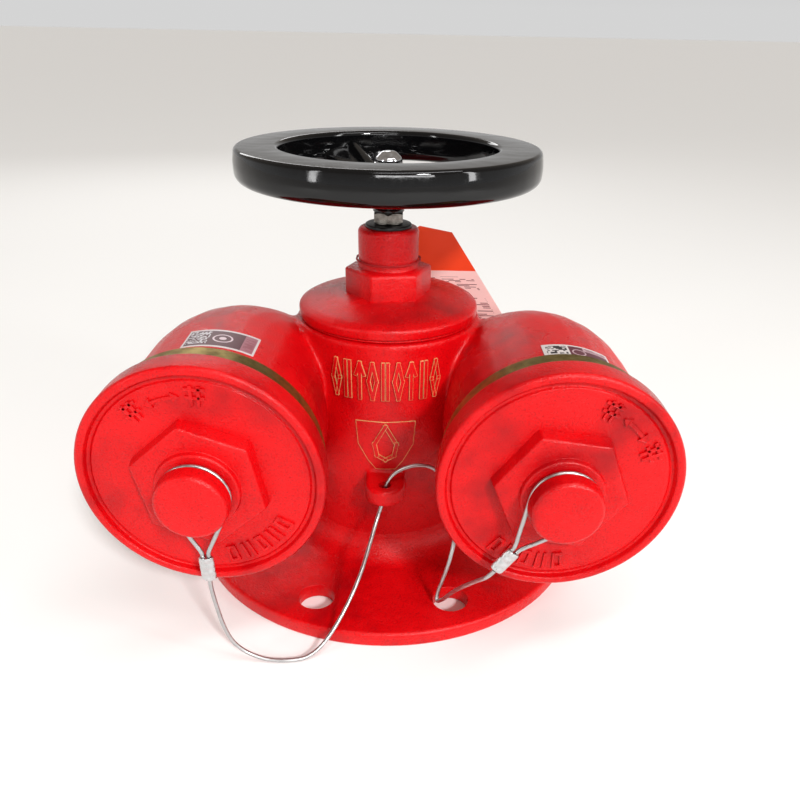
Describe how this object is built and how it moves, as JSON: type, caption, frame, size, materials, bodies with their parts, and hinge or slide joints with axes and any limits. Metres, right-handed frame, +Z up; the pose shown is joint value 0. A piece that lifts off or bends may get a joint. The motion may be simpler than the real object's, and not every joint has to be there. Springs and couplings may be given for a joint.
{
  "type": "fire hydrant valve",
  "caption": "Flanged twin-outlet fire hydrant valve with a black handwheel on a rising spindle and screw caps held by wire-rope tethers.",
  "frame": {"origin": "under the middle of the object's bounding box, on the plane that the flange stands on", "axes": "+X across the two hose connections, +Z up along the spindle, and the caps face -Y"},
  "size_m": [0.254, 0.24, 0.209],
  "materials": {
    "red_enamel": "bright red gloss enamel over a cast iron surface",
    "black_enamel": "high-gloss black enamel on cast iron",
    "brass": "dull olive brass, turned",
    "steel": "turned steel, lightly oiled",
    "chrome": "bright plated steel",
    "wire_rope": "stranded galvanised wire rope",
    "aluminium": "crimped aluminium sleeve",
    "rubber": "black moulded rubber",
    "fibre": "compressed fibre, painted over where it shows",
    "card": "printed card with a satin face",
    "string": "thin cotton string"
  },
  "bodies": {
    "valve_casing": {"valve_body": "red_enamel", "seat_ring": "brass", "bonnet": "red_enamel", "bonnet_gasket": "fibre", "stem_nut": "brass", "packing_washer": "brass", "packing_ring_1": "fibre", "packing_ring_2": "fibre", "packing_ring_3": "fibre", "gland_nut": "black_enamel", "left_nipple": "brass", "right_nipple": "brass", "left_nipple_gasket": "fibre", "right_nipple_gasket": "fibre", "left_tether": "wire_rope", "right_tether": "wire_rope", "hang_tag": "card", "tag_string": "string"},
    "disc_carrier": {"valve_disc": "brass", "disc_seal": "rubber", "seal_washer": "brass", "seal_nut": "brass", "disc_lock_nut": "brass"},
    "spindle": {"stem": "steel", "wheel_seat_nut": "steel", "handwheel": "black_enamel", "wheel_washer": "chrome", "wheel_nut": "chrome"},
    "left_rope_end": {"left_cable_loop": "wire_rope", "left_ferrule": "aluminium"},
    "right_rope_end": {"right_cable_loop": "wire_rope", "right_ferrule": "aluminium"},
    "left_cap_body": {"left_cap": "red_enamel", "left_cap_gasket": "rubber"},
    "right_cap_body": {"right_cap": "red_enamel", "right_cap_gasket": "rubber"}
  },
  "joints": [
    {"name": "valve_lift", "type": "slide", "parent": "valve_casing", "child": "disc_carrier", "axis": [0, 0, 1], "range_m": [0, 0.02]},
    {"name": "handwheel_turn", "type": "hinge", "parent": "disc_carrier", "child": "spindle", "pos_m": [0, 0.01, 0.2], "axis": [0, 0, 1], "range_deg": [0, 1440]},
    {"name": "left_cap_travel", "type": "slide", "parent": "valve_casing", "child": "left_rope_end", "axis": [0, -1, 0], "range_m": [0, 0.012], "deforming": ["left_tether"]},
    {"name": "left_cap_turn", "type": "hinge", "parent": "left_rope_end", "child": "left_cap_body", "pos_m": [-0.075, -0.1, 0.094], "axis": [0, -1, 0], "range_deg": [0, 1080]},
    {"name": "right_cap_travel", "type": "slide", "parent": "valve_casing", "child": "right_rope_end", "axis": [0, -1, 0], "range_m": [0, 0.012], "deforming": ["right_tether"]},
    {"name": "right_cap_turn", "type": "hinge", "parent": "right_rope_end", "child": "right_cap_body", "pos_m": [0.075, -0.1, 0.094], "axis": [0, -1, 0], "range_deg": [0, 1080]}
  ],
  "couplings": [
    {"joint": "valve_lift", "follows": "handwheel_turn", "m_per_rad": 0.00079577},
    {"joint": "left_cap_travel", "follows": "left_cap_turn", "m_per_rad": 0.00063661},
    {"joint": "right_cap_travel", "follows": "right_cap_turn", "m_per_rad": 0.00063661}
  ]
}
